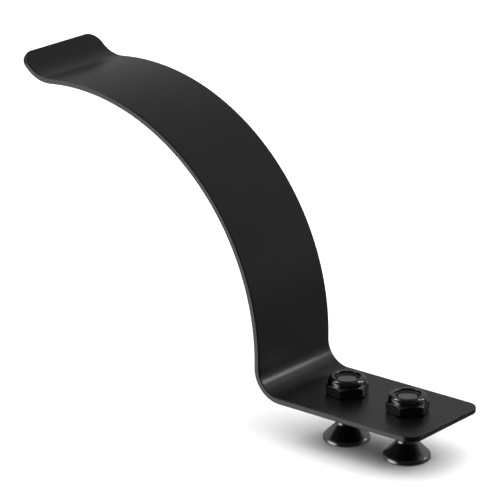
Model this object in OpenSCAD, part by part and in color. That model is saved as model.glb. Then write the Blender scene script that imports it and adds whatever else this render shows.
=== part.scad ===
// Headphone hook: a bent steel strip with two countersunk clamp screws and lock nuts.
//
// The strip is a flat mounting plate, a tight bend, a wide arc that rises and curls
// over, and a short lip that keeps the headband from sliding off.  Each screw hangs
// head down through the plate, so that its cone can slide into a slotted rail; the
// lock nut on top of the plate draws the cone up and clamps the rail's lips.
//
// Frame: the origin is on the plate's underside, midway between the two screws.
// +X runs along the plate to its free end, +Z is up, and the hook curls towards -X.

/* [Strip] */
// Width of the steel strip
strip_w = 38; // [32:1:50]
// Thickness of the steel strip
strip_t = 2; // [1.5:0.25:3]
// Chamfer that stands for the deburred, coated edges
edge_break = 0.3; // [0.1:0.05:0.5]
// Flat length of the mounting plate, free end to bend
plate_len = 55.2; // [52:0.2:70]
// Radius of the plate's two free corners
plate_corner_r = 4.5; // [3:0.5:8]

/* [Hook] */
// Inner radius of the bend between plate and riser
base_bend_r = 8.5; // [5:0.5:12]
// Turn of that bend, from the plate up to the riser
base_bend_angle = 91; // [85:0.5:95]
// Radius of the headband surface on the outside of the arc
arc_r = 82.5; // [70:1:95]
// Turn of the arc, from the riser to the start of the lip
arc_sweep = 97.5; // [85:1:102]
// Radius of the saddle between arc and lip
lip_bend_r = 12; // [8:1:16]
// Turn of the lip bend
lip_bend_angle = 49; // [35:1:60]
// Flat length of the lip beyond its bend
lip_len = 5.2; // [5:0.2:12]
// Radius of the lip's two corners
lip_corner_r = 5; // [3:0.5:5]

/* [Screws] */
// Distance between the two screws
screw_pitch = 25; // [20:1:32]
// Distance from the outer screw to the plate's free end
end_margin = 16.2; // [12:0.2:20]
// Outside diameter of the screw's thread
thread_d = 7.9; // [7.85:0.01:7.95]
// Diameter of the clearance holes in the plate
plate_hole_d = 8.5; // [8.4:0.1:9]
// Diameter of the countersunk head
head_d = 16; // [14:0.5:18]
// Straight land at the rim of the head
head_land = 1.5; // [0.3:0.1:2]
// Width across flats of the key socket in the head
socket_af = 5; // [4:0.5:6]
// Depth of the key socket
socket_depth = 3; // [2:0.25:4]
// Distance from the plate's underside down to the flat of the head
head_drop = 14.6; // [12:0.2:18]
// Length of the screw over its head
screw_len = 21.7; // [20.7:0.5:26.2]

/* [Lock nuts] */
// Width across flats
nut_af = 13; // [13:0.1:14]
// Diameter over the six rounded-off corners
nut_corner_d = 14.6; // [14.2:0.1:15]
// Height of the six-sided part
nut_hex_h = 3.8; // [3.5:0.1:4.2]
// Overall height with the crimped collar
nut_h = 6; // [5.8:0.1:8]
// Outside diameter of the collar
collar_d = 12.9; // [11:0.1:12.9]
// Opening in the top of the collar
collar_mouth_d = 8.9; // [8.6:0.1:9.4]
// Diameter of the nut's bore over the thread crests
nut_bore_d = 8; // [7.98:0.01:8.05]
// Outside diameter of the nylon locking ring
ring_d = 10.2; // [9.6:0.1:10.6]
// Height of the nylon locking ring
ring_h = 1.7; // [1.4:0.1:2.2]
// Depth of the ring's top below the collar's rim
ring_depth = 0.8; // [0.6:0.1:1.2]
// Turn of the inner nut's flats about its axis
inner_nut_turn = 53; // [0:1:60]
// Turn of the outer nut's flats about its axis
outer_nut_turn = 50; // [0:1:60]

/* [Hidden] */
$fn = 96;
plate_end = screw_pitch / 2 + end_margin;
neck_drop = head_drop - head_land - (head_d - thread_d) / 2;
screw_point = screw_len - head_drop;
point_chamfer = 0.8;
rim_break = 0.3;
nut_corner_r = nut_corner_d / 2;
nut_face_r = 0.475 * nut_af;
nut_chamfer = (nut_corner_r - nut_face_r) * tan(30);
ring_z = nut_h - ring_depth - ring_h;
collar_round = 1.3;

// ---------- strip ----------
//
// The strip is one sweep.  Its path is the underside, followed from the plate's free end
// to the lip as [distance along the plate, height, heading in degrees].

// Where a path stands after a straight run.
function run(p, length) = [p[0] + length * cos(p[2]), p[1] + length * sin(p[2]), p[2]];

// Where a path stands after a turn; radius is positive for a bend towards +Z.
function turn(p, angle, radius) =
    [p[0] + radius * (sin(p[2] + angle) - sin(p[2])),
     p[1] - radius * (cos(p[2] + angle) - cos(p[2])), p[2] + angle];

// The points of a turn in equal steps, without its first point.
function turn_steps(p, angle, radius, steps) =
    [for (i = [1:steps]) turn(p, angle * i / steps, radius)];

function last(list) = list[len(list) - 1];

// A point of the strip: lift is measured from the underside, y across the width.
function on_strip(p, lift, y) =
    [plate_end - p[0] + lift * sin(p[2]), y, p[1] + lift * cos(p[2])];

// One ring of eight points.  edge and face are [station, half width] of the side wall and
// of the faces inside the chamfer; they differ only round the corners.
function ring(edge, face) =
    [on_strip(face[0], 0, -face[1]), on_strip(edge[0], edge_break, -edge[1]),
     on_strip(edge[0], strip_t - edge_break, -edge[1]), on_strip(face[0], strip_t, -face[1]),
     on_strip(face[0], strip_t, face[1]), on_strip(edge[0], strip_t - edge_break, edge[1]),
     on_strip(edge[0], edge_break, edge[1]), on_strip(face[0], 0, face[1])];

// A station on a rounded end: a is 0 at the tip and 90 where the sides run straight.
function corner_station(tip, r, a, inset, way) =
    [run(tip, way * (r - (r - inset) * cos(a))), strip_w / 2 - r + (r - inset) * sin(a)];

function corner_rings(tip, r, angles, way) =
    [for (a = angles) ring(corner_station(tip, r, a, 0, way),
                           corner_station(tip, r, a, edge_break, way))];

// Sweep through rings of eight points, with chamfered caps.
module sweep(rings) {
    n = len(rings);
    points = [for (r = rings) each r];
    sides = [for (i = [0:n - 2], k = [0:7])
        [8 * i + k, 8 * i + (k + 1) % 8, 8 * (i + 1) + (k + 1) % 8, 8 * (i + 1) + k]];
    cap = [[0, 7, 6, 1], [1, 6, 5, 2], [2, 5, 4, 3]];
    far_cap = [for (f = cap) [for (k = [3:-1:0]) f[k] + 8 * (n - 1)]];
    polyhedron(points, concat(sides, cap, far_cap), convexity = 6);
}

module hook_strip() {
    half = strip_w / 2;
    plate_tip = [0, 0, 0];
    plate_bend = run(plate_tip, plate_len);
    base_bend = turn_steps(plate_bend, base_bend_angle, base_bend_r + strip_t, 14);
    arc = turn_steps(last(base_bend), -arc_sweep, strip_t - arc_r, 36);
    lip_bend = turn_steps(last(arc), lip_bend_angle, lip_bend_r + strip_t, 8);
    lip_tip = run(last(lip_bend), lip_len);
    middle = concat([plate_bend], base_bend, arc, lip_bend);
    color("#2b2b2d")
    difference() {
        sweep(concat(
            corner_rings(plate_tip, plate_corner_r, [0:15:90], 1),
            [for (p = middle) ring([p, half], [p, half - edge_break])],
            corner_rings(lip_tip, lip_corner_r, [90:-15:0], -1)));
        for (x = [-1, 1] * screw_pitch / 2)
            translate([x, 0, -1]) cylinder(h = strip_t + 2, d = plate_hole_d);
    }
}

// ---------- fasteners ----------

// Countersunk socket screw, head down, drawn about its own axis in the row's height.
module clamp_screw() {
    head_r = head_d / 2;
    thread_r = thread_d / 2;
    color("#151516")
    difference() {
        rotate_extrude()
            polygon([[0, -head_drop], [head_r - rim_break, -head_drop],
                     [head_r, rim_break - head_drop], [head_r, head_land - head_drop],
                     [thread_r, -neck_drop], [thread_r, screw_point - point_chamfer],
                     [thread_r - point_chamfer, screw_point], [0, screw_point]]);
        translate([0, 0, -head_drop - 1])
            cylinder(h = socket_depth + 1, d = socket_af / cos(30), $fn = 6);
    }
}

// Six-sided lock nut with a crimped collar, seated on z = 0.
module lock_nut(flats_turn) {
    color("#151516")
    difference() {
        union() {
            intersection() {
                rotate([0, 0, flats_turn])
                    cylinder(h = nut_hex_h, d = nut_af / cos(30), $fn = 6);
                rotate_extrude()
                    polygon([[0, 0], [nut_face_r, 0], [nut_corner_r, nut_chamfer],
                             [nut_corner_r, nut_hex_h - nut_chamfer],
                             [nut_face_r, nut_hex_h], [0, nut_hex_h]]);
            }
            collar();
        }
        rotate_extrude() nut_cavity();
    }
}

// The collar crimped over the locking ring, with a rounded shoulder.
module collar() {
    r = collar_d / 2;
    shoulder = [for (a = [0:15:90])
        [r - collar_round * (1 - cos(a)), nut_h - collar_round * (1 - sin(a))]];
    rotate_extrude()
        polygon(concat([[0, nut_hex_h / 2], [r, nut_hex_h / 2]], shoulder, [[0, nut_h]]));
}

// Half section of the hollow: thread bore, seat of the locking ring and open mouth.
module nut_cavity() {
    bore_r = nut_bore_d / 2;
    seat_r = ring_d / 2;
    mouth_r = collar_mouth_d / 2;
    polygon([[0, -1], [bore_r + 0.6, -1], [bore_r + 0.6, 0], [bore_r, 0.6], [bore_r, ring_z],
             [seat_r, ring_z], [seat_r, ring_z + ring_h], [mouth_r, ring_z + ring_h],
             [mouth_r, nut_h + 1], [0, nut_h + 1]]);
}

// The nylon ring that grips the thread.
module locking_ring() {
    color("#3a3a3c")
    translate([0, 0, ring_z])
        difference() {
            cylinder(h = ring_h, d = ring_d);
            translate([0, 0, -1]) cylinder(h = ring_h + 2, d = nut_bore_d);
        }
}

module at_screw(side) translate([side * screw_pitch / 2, 0, 0]) children();

module screw_inner() at_screw(-1) clamp_screw();
module screw_outer() at_screw(1) clamp_screw();
module nut_inner() at_screw(-1) translate([0, 0, strip_t]) lock_nut(inner_nut_turn);
module nut_outer() at_screw(1) translate([0, 0, strip_t]) lock_nut(outer_nut_turn);
module locking_ring_inner() at_screw(-1) translate([0, 0, strip_t]) locking_ring();
module locking_ring_outer() at_screw(1) translate([0, 0, strip_t]) locking_ring();

hook_strip();
screw_inner();
screw_outer();
nut_inner();
nut_outer();
locking_ring_inner();
locking_ring_outer();
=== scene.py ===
from math import cos, hypot, pi, radians, sin

import bmesh
import bpy
from mathutils import Matrix, Vector


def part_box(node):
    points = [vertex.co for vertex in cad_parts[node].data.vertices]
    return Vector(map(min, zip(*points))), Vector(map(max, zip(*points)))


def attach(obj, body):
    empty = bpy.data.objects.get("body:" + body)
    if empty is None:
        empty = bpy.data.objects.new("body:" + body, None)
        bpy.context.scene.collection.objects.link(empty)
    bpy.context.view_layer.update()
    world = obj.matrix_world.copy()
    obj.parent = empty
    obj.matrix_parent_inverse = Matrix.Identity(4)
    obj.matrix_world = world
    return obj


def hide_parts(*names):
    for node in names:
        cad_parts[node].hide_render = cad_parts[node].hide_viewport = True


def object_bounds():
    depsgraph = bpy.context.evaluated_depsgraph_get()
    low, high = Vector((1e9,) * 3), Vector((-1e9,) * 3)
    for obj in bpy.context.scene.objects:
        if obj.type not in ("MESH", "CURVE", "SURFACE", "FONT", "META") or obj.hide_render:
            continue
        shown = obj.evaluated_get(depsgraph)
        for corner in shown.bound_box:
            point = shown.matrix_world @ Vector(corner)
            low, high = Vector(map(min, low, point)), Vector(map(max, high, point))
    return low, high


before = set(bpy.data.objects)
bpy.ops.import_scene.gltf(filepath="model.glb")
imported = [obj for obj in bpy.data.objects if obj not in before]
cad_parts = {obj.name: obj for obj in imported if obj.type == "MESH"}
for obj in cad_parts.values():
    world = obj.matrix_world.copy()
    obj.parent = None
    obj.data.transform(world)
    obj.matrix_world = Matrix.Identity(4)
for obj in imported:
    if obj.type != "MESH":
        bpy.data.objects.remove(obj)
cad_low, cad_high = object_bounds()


# ---------- hook strip ----------
# One strip of 2 mm steel with two clearance holes, its rim deburred.  It is bent three
# times over formers: up from the plate, round the wide arc, and up again into the lip.
# Satin black powder coat, baked on after bending, softens every edge.

strip_low, strip_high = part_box("hook_strip")
half_width = strip_high.y
thickness = 0.002
plate_length = 0.0552
plate_corner = 0.0045
base_bend = (radians(91), 0.0085)
arc_bend = (radians(97.5), 0.0825)
lip_bend = (radians(49), 0.012)
lip_length = 0.0052
lip_corner = 0.005
rim_round = 0.00035
rim_angle = radians(50)
screw_axes = [(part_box(n)[0].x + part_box(n)[1].x) / 2 for n in ("screw_inner", "screw_outer")]
hole_radius = 0.00425
drill_length = thickness * 4

# Baked powder and bright plating alike vary a little over a piece.  The group gives that
# slow drift as a value, here of the roughness, and the finish's fine grain as a height.

mottle = bpy.data.node_groups.new("coating_mottle", "ShaderNodeTree")
for name in ("Patch size", "Grain size", "Low", "High"):
    mottle.interface.new_socket(name, in_out="INPUT", socket_type="NodeSocketFloat")
for name in ("Value", "Height"):
    mottle.interface.new_socket(name, in_out="OUTPUT", socket_type="NodeSocketFloat")
entry = mottle.nodes.new("NodeGroupInput")
exit_node = mottle.nodes.new("NodeGroupOutput")
place = mottle.nodes.new("ShaderNodeTexCoord")
patches = mottle.nodes.new("ShaderNodeTexNoise")
patches.inputs["Detail"].default_value = 3.0
grain = mottle.nodes.new("ShaderNodeTexNoise")
grain.inputs["Detail"].default_value = 2.0
spread = mottle.nodes.new("ShaderNodeMapRange")
spread.inputs["From Min"].default_value = 0.3
spread.inputs["From Max"].default_value = 0.7
for noise, scale in ((patches, "Patch size"), (grain, "Grain size")):
    mottle.links.new(place.outputs["Object"], noise.inputs["Vector"])
    mottle.links.new(entry.outputs[scale], noise.inputs["Scale"])
mottle.links.new(patches.outputs["Fac"], spread.inputs["Value"])
mottle.links.new(entry.outputs["Low"], spread.inputs["To Min"])
mottle.links.new(entry.outputs["High"], spread.inputs["To Max"])
mottle.links.new(spread.outputs["Result"], exit_node.inputs["Value"])
mottle.links.new(grain.outputs["Fac"], exit_node.inputs["Height"])


def add_mottle(material, patch_size, grain_size, rough, grain_depth):
    """Feeds a material's roughness and its bump from the mottle group."""
    nodes, links = material.node_tree.nodes, material.node_tree.links
    shader = nodes["Principled BSDF"]
    group = nodes.new("ShaderNodeGroup")
    group.node_tree = mottle
    group.inputs["Patch size"].default_value = patch_size
    group.inputs["Grain size"].default_value = grain_size
    group.inputs["Low"].default_value, group.inputs["High"].default_value = rough
    bump = nodes.new("ShaderNodeBump")
    bump.inputs["Strength"].default_value = 0.5
    bump.inputs["Distance"].default_value = grain_depth
    links.new(group.outputs["Value"], shader.inputs["Roughness"])
    links.new(group.outputs["Height"], bump.inputs["Height"])
    links.new(bump.outputs["Normal"], shader.inputs["Normal"])


coat = bpy.data.materials.new("satin_black_powder_coat")
coat.use_nodes = True
finish = coat.node_tree.nodes["Principled BSDF"]
finish.inputs["Base Color"].default_value = (0.0015, 0.0015, 0.0016, 1)
finish.inputs["Specular IOR Level"].default_value = 0.5
add_mottle(coat, 45.0, 900.0, (0.29, 0.35), 0.00001)

sheet = bmesh.new()
outline = [sheet.verts.new((strip_high.x, y, z)) for y, z in
           ((-half_width, 0), (half_width, 0), (half_width, thickness), (-half_width, thickness))]
edges = [sheet.edges.new((outline[k], outline[k - 1])) for k in range(4)]
tip = Vector((strip_high.x, 0, 0))
heading = pi


def run_on(edges, tip, heading, length):
    """Carries the strip's outline straight on, and returns its new edges and tip."""
    step = Vector((cos(heading), 0, sin(heading))) * length
    made = bmesh.ops.extrude_edge_only(sheet, edges=edges)["geom"]
    moved = [g for g in made if isinstance(g, bmesh.types.BMVert)]
    bmesh.ops.translate(sheet, verts=moved, vec=step)
    return [g for g in made if isinstance(g, bmesh.types.BMEdge)], tip + step


def bend_on(edges, tip, heading, angle, upper_radius, up, steps):
    """Carries the outline round a former, and returns its new edges, tip and heading; the
    upper_radius is that of the strip's upper face."""
    radius = upper_radius + thickness if up else thickness - upper_radius
    normal = Vector((sin(heading), 0, -cos(heading)))
    pivot = tip + normal * radius
    turn = angle if up else -angle
    made = bmesh.ops.spin(sheet, geom=[*{v for e in edges for v in e.verts}, *edges], cent=pivot,
                          axis=(0, 1, 0), angle=turn, steps=steps)["geom_last"]
    tip = pivot + Matrix.Rotation(turn, 3, "Y") @ (tip - pivot)
    return [g for g in made if isinstance(g, bmesh.types.BMEdge)], tip, heading - turn


first_edges = edges
edges, tip = run_on(edges, tip, heading, plate_length)
edges, tip, heading = bend_on(edges, tip, heading, *base_bend, up=True, steps=26)
edges, tip, heading = bend_on(edges, tip, heading, *arc_bend, up=False, steps=78)
edges, tip, heading = bend_on(edges, tip, heading, *lip_bend, up=True, steps=18)
edges, tip = run_on(edges, tip, heading, lip_length)
for rim in (first_edges, edges):
    bmesh.ops.contextual_create(sheet, geom=rim)
bmesh.ops.recalc_face_normals(sheet, faces=sheet.faces)


def corner_edges(rim):
    """The two edges of an end that run through the thickness."""
    return [e for e in rim if abs(e.verts[0].co.y - e.verts[1].co.y) < 1e-6]


for rim, radius in ((first_edges, plate_corner), (edges, lip_corner)):
    bmesh.ops.bevel(sheet, geom=corner_edges(rim), offset=radius, affect="EDGES", segments=12,
                    profile=0.5, material=-1)
sheet_mesh = bpy.data.meshes.new("blank")
sheet.to_mesh(sheet_mesh)
sheet.free()
blank = bpy.data.objects.new("blank", sheet_mesh)
bpy.context.collection.objects.link(blank)

drill = bmesh.new()
for x in screw_axes:
    bmesh.ops.create_cone(drill, cap_ends=True, segments=64, radius1=hole_radius, radius2=hole_radius,
                          depth=drill_length, matrix=Matrix.Translation((x, 0, 0)))
drill_mesh = bpy.data.meshes.new("drill")
drill.to_mesh(drill_mesh)
drill.free()
drill_bit = bpy.data.objects.new("drill", drill_mesh)
bpy.context.collection.objects.link(drill_bit)
cut = blank.modifiers.new("holes", "BOOLEAN")
cut.object = drill_bit
cut.solver = "EXACT"
drilled = blank.evaluated_get(bpy.context.evaluated_depsgraph_get()).to_mesh()

strip = bmesh.new()
strip.from_mesh(drilled)
bmesh.ops.remove_doubles(strip, verts=strip.verts, dist=1e-7)
sharp = [e for e in strip.edges if len(e.link_faces) == 2 and e.calc_face_angle() > rim_angle]
bmesh.ops.bevel(strip, geom=sharp, offset=rim_round, affect="EDGES", segments=4, profile=0.5,
                material=-1)
hook_mesh = bpy.data.meshes.new("bent_strip")
strip.to_mesh(hook_mesh)
strip.free()
for scrap in (blank, drill_bit):
    bpy.data.objects.remove(scrap)
hook_mesh.shade_smooth()
hook_mesh.materials.append(coat)
hook = bpy.data.objects.new("bent_strip", hook_mesh)
bpy.context.collection.objects.link(hook)
hook.modifiers.new("flat_faces_stay_flat", "WEIGHTED_NORMAL")
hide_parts("hook_strip")
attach(hook, "hook")


# ---------- clamp screws ----------
# Two M8 countersunk steel screws with a hexagon key socket, cold headed, thread rolled and
# plated a glossy black.  They hang head down through the plate, and their cones slide under
# the lips of a slotted rail.

head_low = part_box("screw_inner")[0]
head_radius = (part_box("screw_inner")[1].x - head_low.x) / 2
screw_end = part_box("screw_inner")[1].z
head_land = 0.0015
rim_round_above = 0.0004
rim_round_below = 0.0005
thread_pitch = 0.00125
crest_radius = 0.00395
root_radius = 0.00325
neck_radius = 0.0036
point_chamfer = 0.0008
socket_across = 0.005
socket_depth = 0.003
socket_rim = 0.0035
cone_top = head_low.z + head_land + head_radius - neck_radius
neck_fillet = 0.0002
thread_low = cone_top + 0.0012
neck_top = thread_low - 0.0003
steps_per_turn = 48
spare_turns = 3

plating = bpy.data.materials.new("glossy_black_plating")
plating.use_nodes = True
shine = plating.node_tree.nodes["Principled BSDF"]
shine.inputs["Base Color"].default_value = (0.20, 0.20, 0.205, 1)
shine.inputs["Metallic"].default_value = 1.0
add_mottle(plating, 220.0, 2500.0, (0.19, 0.26), 0.000003)


def turned(build, corners, segments=96):
    """Turns a chain of (radius, height, rounding) corners about Z; a closed chain ends where
    it starts."""
    closed = corners[0] == corners[-1]
    points = [build.verts.new((r, 0, z)) for r, z, _ in (corners[:-1] if closed else corners)]
    chain = [build.edges.new(pair) for pair in zip(points, points[1:])]
    if closed:
        chain.append(build.edges.new((points[-1], points[0])))
    others = set(build.verts) - set(points)
    for point, (_, _, rounding) in zip(points, corners):
        if rounding:
            bmesh.ops.bevel(build, geom=[point], offset=rounding, affect="VERTICES", segments=4,
                            profile=0.5, material=-1)
    points = [v for v in build.verts if v not in others]
    chain = list({e for v in points for e in v.link_edges})
    bmesh.ops.spin(build, geom=points + chain, cent=(0, 0, 0), axis=(0, 0, 1), angle=2 * pi,
                   steps=segments, use_merge=True)


def finished(build, name, material, sharp_angle=35):
    """Makes a closed build into an object whose edges look sharp past an angle in degrees."""
    bmesh.ops.recalc_face_normals(build, faces=build.faces)
    mesh = bpy.data.meshes.new(name)
    build.to_mesh(mesh)
    build.free()
    mesh.shade_smooth()
    mesh.set_sharp_from_angle(angle=radians(sharp_angle))
    mesh.materials.append(material)
    piece = bpy.data.objects.new(name, mesh)
    bpy.context.collection.objects.link(piece)
    piece.modifiers.new("flat_faces_stay_flat", "WEIGHTED_NORMAL").keep_sharp = True
    return piece


def rolled_thread(build, low, high):
    """A right-hand thread between two heights, open at both ends, with a chamfered point.  It
    is wound a few turns longer and cut off flat, because a winding starts and ends slanted."""
    ridge = [(root_radius, 0), (root_radius, 0.2), (crest_radius, 0.54), (crest_radius, 0.66),
             (root_radius, 1)]
    start = low - spare_turns / 2 * thread_pitch
    points = [build.verts.new((r, 0, start + share * thread_pitch)) for r, share in ridge]
    chain = [build.edges.new(pair) for pair in zip(points, points[1:])]
    turns = round((high - low) / thread_pitch) + spare_turns
    bmesh.ops.spin(build, geom=points + chain, cent=(0, 0, 0), axis=(0, 0, 1),
                   angle=2 * pi * turns, steps=steps_per_turn * turns,
                   dvec=(0, 0, thread_pitch / steps_per_turn))
    bmesh.ops.remove_doubles(build, verts=build.verts, dist=2e-6)
    for height, way in ((low, -1), (high, 1)):
        bmesh.ops.bisect_plane(build, geom=[*build.verts, *build.edges, *build.faces], dist=1e-7,
                               plane_co=(0, 0, height), plane_no=(0, 0, way), clear_outer=True)
    for vert in build.verts:
        limit = crest_radius - max(0, vert.co.z - high + point_chamfer)
        radius = hypot(vert.co.x, vert.co.y)
        if radius > limit:
            vert.co.xy *= limit / radius


def open_loop(build, height):
    """The open edges that lie at a height."""
    return [e for e in build.edges if len(e.link_faces) == 1
            and all(abs(v.co.z - height) < 1e-6 for v in e.verts)]


def clamp_screw(name, node, body, x):
    """A screw from its point down: thread, neck, cone, head and key socket."""
    screw = bmesh.new()
    rolled_thread(screw, thread_low, screw_end)
    bmesh.ops.contextual_create(screw, geom=open_loop(screw, screw_end))
    turned(screw, [(neck_radius, neck_top, 0), (neck_radius, cone_top, neck_fillet),
                   (head_radius, head_low.z + head_land, rim_round_above),
                   (head_radius, head_low.z, rim_round_below), (socket_rim, head_low.z, 0)])
    bmesh.ops.bridge_loops(screw, edges=open_loop(screw, thread_low) + open_loop(screw, neck_top))
    mouth = open_loop(screw, head_low.z)
    socket = bmesh.ops.create_circle(screw, cap_ends=False, segments=6,
                                     radius=socket_across / 2 / cos(radians(30)),
                                     matrix=Matrix.Translation((0, 0, head_low.z)))["verts"]
    hexagon = list({e for v in socket for e in v.link_edges})
    bmesh.ops.bridge_loops(screw, edges=mouth + hexagon)
    walls = bmesh.ops.extrude_edge_only(screw, edges=hexagon)["geom"]
    deep = [g for g in walls if isinstance(g, bmesh.types.BMVert)]
    bmesh.ops.translate(screw, verts=deep, vec=(0, 0, socket_depth))
    bmesh.ops.contextual_create(screw, geom=[g for g in walls if isinstance(g, bmesh.types.BMEdge)])
    bmesh.ops.translate(screw, verts=screw.verts, vec=(x, 0, 0))
    piece = finished(screw, name, plating)
    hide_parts(node)
    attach(piece, body)


clamp_screw("inner_clamp_screw", "screw_inner", "inner_screw", screw_axes[0])
clamp_screw("outer_clamp_screw", "screw_outer", "outer_screw", screw_axes[1])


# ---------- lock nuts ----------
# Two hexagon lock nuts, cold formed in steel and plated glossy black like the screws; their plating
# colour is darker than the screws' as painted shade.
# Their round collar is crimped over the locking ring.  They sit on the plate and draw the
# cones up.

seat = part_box("nut_inner")[0].z
nut_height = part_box("nut_inner")[1].z - seat
nut_across = 0.013
corner_radius = 0.0073
face_radius = 0.475 * nut_across
hex_height = 0.0038
collar_radius = 0.00645
collar_round = 0.0013
mouth_radius = 0.00445
bore_radius = 0.004
ring_radius = 0.0051
ring_low = seat + 0.0035
ring_high = seat + 0.0052
bore_chamfer = 0.0006
crease_round = 0.0001
mouth_round = 0.0003
flat_border = 0.00012
flat_rise = 0.00003
chamfer_slope = 0.577
nut_chamfer = (corner_radius - face_radius) * chamfer_slope

# The screws' black plating again, with its colour darkened as painted shade for the darker
# surroundings the nuts reflect.
nuts_shaded_plating = bpy.data.materials.new("shade_darkened_plating_nuts")
nuts_shaded_plating.use_nodes = True
nut_shine = nuts_shaded_plating.node_tree.nodes["Principled BSDF"]
nut_shine.inputs["Base Color"].default_value = (0.115, 0.115, 0.12, 1)
nut_shine.inputs["Metallic"].default_value = 1.0
add_mottle(nuts_shaded_plating, 220.0, 2500.0, (0.18, 0.24), 0.000003)


def lock_nut(name, node, body, x, flats_turn):
    """A turned nut whose six flats are cut, each pressed a little proud within a border."""
    nut = bmesh.new()
    top = seat + nut_height
    shoulder = seat + hex_height - (collar_radius - face_radius) * chamfer_slope
    chain = [(bore_radius + bore_chamfer, seat, 0), (face_radius, seat, crease_round),
             (corner_radius, seat + nut_chamfer, crease_round),
             (corner_radius, seat + hex_height - nut_chamfer, crease_round),
             (collar_radius, shoulder, crease_round), (collar_radius, top, collar_round),
             (mouth_radius, top, mouth_round), (mouth_radius, ring_high, 0),
             (ring_radius, ring_high, 0), (ring_radius, ring_low, 0), (bore_radius, ring_low, 0),
             (bore_radius, seat + bore_chamfer, 0)]
    turned(nut, chain + chain[:1])
    bmesh.ops.recalc_face_normals(nut, faces=nut.faces)
    for k in range(6):
        bearing = radians(flats_turn + 30 + 60 * k)
        outward = Vector((cos(bearing), sin(bearing), 0))
        cut = bmesh.ops.bisect_plane(nut, geom=[*nut.verts, *nut.edges, *nut.faces], dist=1e-7,
                                     plane_co=outward * nut_across / 2, plane_no=outward,
                                     clear_outer=True)["geom_cut"]
        rim = [g for g in cut if isinstance(g, bmesh.types.BMEdge)]
        flat = bmesh.ops.contextual_create(nut, geom=rim)["faces"]
        bmesh.ops.inset_region(nut, faces=flat, thickness=flat_border, use_even_offset=True)
        bmesh.ops.translate(nut, verts=list({v for f in flat for v in f.verts}),
                            vec=outward * flat_rise)
    bmesh.ops.translate(nut, verts=nut.verts, vec=(x, 0, 0))
    piece = finished(nut, name, nuts_shaded_plating)
    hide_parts(node)
    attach(piece, body)


lock_nut("inner_lock_nut", "nut_inner", "inner_nut", screw_axes[0], flats_turn=53)
lock_nut("outer_lock_nut", "nut_outer", "outer_nut", screw_axes[1], flats_turn=50)


# ---------- locking rings ----------
# A plain ring of black nylon in each nut's collar.  The crimped rim holds it down, and it
# grips the thread so that the nut can't shake loose.

nylon = bpy.data.materials.new("black_nylon")
nylon.use_nodes = True
polymer = nylon.node_tree.nodes["Principled BSDF"]
polymer.inputs["Base Color"].default_value = (0.015, 0.015, 0.016, 1)
add_mottle(nylon, 300.0, 3000.0, (0.5, 0.6), 0.000004)

for side, x in zip(("inner", "outer"), screw_axes):
    ring = bmesh.new()
    chain = [(bore_radius, ring_low, crease_round), (ring_radius, ring_low, crease_round),
             (ring_radius, ring_high, crease_round), (bore_radius, ring_high, mouth_round)]
    turned(ring, chain + chain[:1])
    bmesh.ops.translate(ring, verts=ring.verts, vec=(x, 0, 0))
    piece = finished(ring, side + "_locking_ring", nylon)
    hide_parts("locking_ring_" + side)
    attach(piece, side + "_nut")


# ---------- camera, floor and lights ----------
# A long lens a little above the plate, a pale seamless floor under the two cones, and
# large soft lights.

view_azimuth = radians(39.26)
view_elevation = radians(19.05)
view_distance = 1.0574
aim = Vector((-0.0523, -0.00235, 0.0441))
back = Vector((sin(view_azimuth) * cos(view_elevation), -cos(view_azimuth) * cos(view_elevation),
               sin(view_elevation)))
lens = bpy.data.cameras.new("camera")
lens.sensor_width = 36.0
lens.lens = 227.0
lens.clip_end = 20.0
camera = bpy.data.objects.new("camera", lens)
camera.location = aim + back * view_distance
camera.rotation_euler = (-back).to_track_quat("-Z", "Y").to_euler()
bpy.context.collection.objects.link(camera)
bpy.context.scene.camera = camera

floor_reach = 6.0
floor_gap = 0.0001
floor_build = bmesh.new()
bmesh.ops.create_grid(floor_build, x_segments=1, y_segments=1, size=floor_reach,
                      matrix=Matrix.Translation((0, 0, cad_low.z - floor_gap)))
floor_mesh = bpy.data.meshes.new("floor")
floor_build.to_mesh(floor_mesh)
floor_build.free()
floor = bpy.data.objects.new("floor", floor_mesh)
bpy.context.collection.objects.link(floor)
paper = bpy.data.materials.new("white_paper")
paper.use_nodes = True
paper_finish = paper.node_tree.nodes["Principled BSDF"]
paper_finish.inputs["Base Color"].default_value = (0.9, 0.9, 0.9, 1)
paper_finish.inputs["Roughness"].default_value = 0.9
floor_mesh.materials.append(paper)
floor.visible_glossy = False


def soft_light(name, bearing, height, distance, size, power, spread=180):
    """An area light aimed at the plate, from a bearing and a height in degrees."""
    data = bpy.data.lights.new(name, "AREA")
    data.shape = "RECTANGLE"
    data.size, data.size_y = size
    data.energy = power
    data.spread = radians(spread)
    away = Vector((cos(radians(bearing)) * cos(radians(height)),
                   sin(radians(bearing)) * cos(radians(height)), sin(radians(height))))
    light = bpy.data.objects.new(name, data)
    light.location = away * distance
    light.rotation_euler = (-away).to_track_quat("-Z", "Y").to_euler()
    bpy.context.collection.objects.link(light)
    return light


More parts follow.
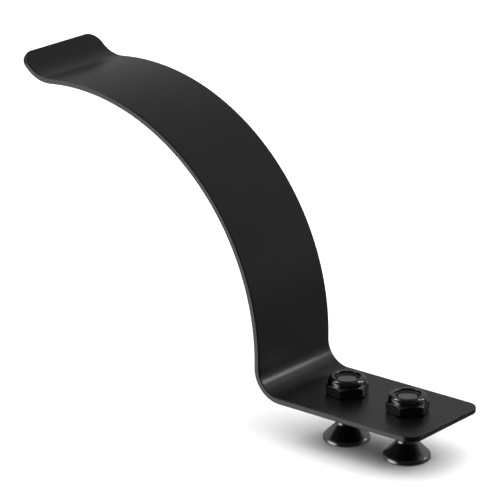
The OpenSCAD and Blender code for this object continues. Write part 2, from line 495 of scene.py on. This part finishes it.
overhead = soft_light("overhead_box", 100, 88, 1.6, (4.0, 4.0), 112)
overhead.visible_glossy = False
soft_light("left_box", 210, 48, 1.0, (0.16, 0.4), 2.0)
soft_light("low_grid", 53, 24, 0.32, (0.07, 0.05), 0.0016, spread=13)
soft_light("high_grid", 52, 47, 0.32, (0.07, 0.05), 0.0016, spread=13)

room = bpy.data.worlds.new("room")
room.use_nodes = True
room_nodes, room_links = room.node_tree.nodes, room.node_tree.links
room_nodes["Background"].inputs["Color"].default_value = (1, 1, 1, 1)
sight = room_nodes.new("ShaderNodeTexCoord")


def room_tone(direction, reach, tones):
    """A smooth change of the room's brightness towards a direction."""
    facing = room_nodes.new("ShaderNodeVectorMath")
    facing.operation = "DOT_PRODUCT"
    facing.inputs[1].default_value = direction
    tone = room_nodes.new("ShaderNodeMapRange")
    tone.interpolation_type = "SMOOTHSTEP"
    tone.inputs["From Min"].default_value, tone.inputs["From Max"].default_value = reach
    tone.inputs["To Min"].default_value, tone.inputs["To Max"].default_value = tones
    room_links.new(sight.outputs["Generated"], facing.inputs[0])
    room_links.new(facing.outputs["Value"], tone.inputs["Value"])
    return tone.outputs["Result"]


def combined(operation, first, second):
    """Two of the room's tones worked into one by an operation."""
    node = room_nodes.new("ShaderNodeMath")
    node.operation = operation
    room_links.new(first, node.inputs[0])
    room_links.new(second, node.inputs[1])
    return node.outputs["Value"]


# The wall beyond the hook is brighter than the one behind the camera, which isn't lit.

walls = room_tone((-back.x, -back.y, 0), (-0.5, 0.1), (0.05, 0.37))
shade_below = room_tone((0, 0, 1), (-0.15, 0.15), (0.55, 1.0))
dark_ceiling = room_tone((0, 0, 1), (0.68, 0.9), (1.0, 0.25))
table_glow = room_tone((-0.6, -0.73, -0.33), (0.86, 0.99), (0.0, 2.2))
seen = room_nodes.new("ShaderNodeLightPath")
walls = combined("MULTIPLY", combined("MULTIPLY", walls, shade_below), dark_ceiling)
reflected = combined("ADD", walls, table_glow)
room_links.new(combined("MAXIMUM", reflected, seen.outputs["Is Camera Ray"]),
               room_nodes["Background"].inputs["Strength"])
bpy.context.scene.world = room
bpy.context.scene.view_settings.view_transform = "Standard"
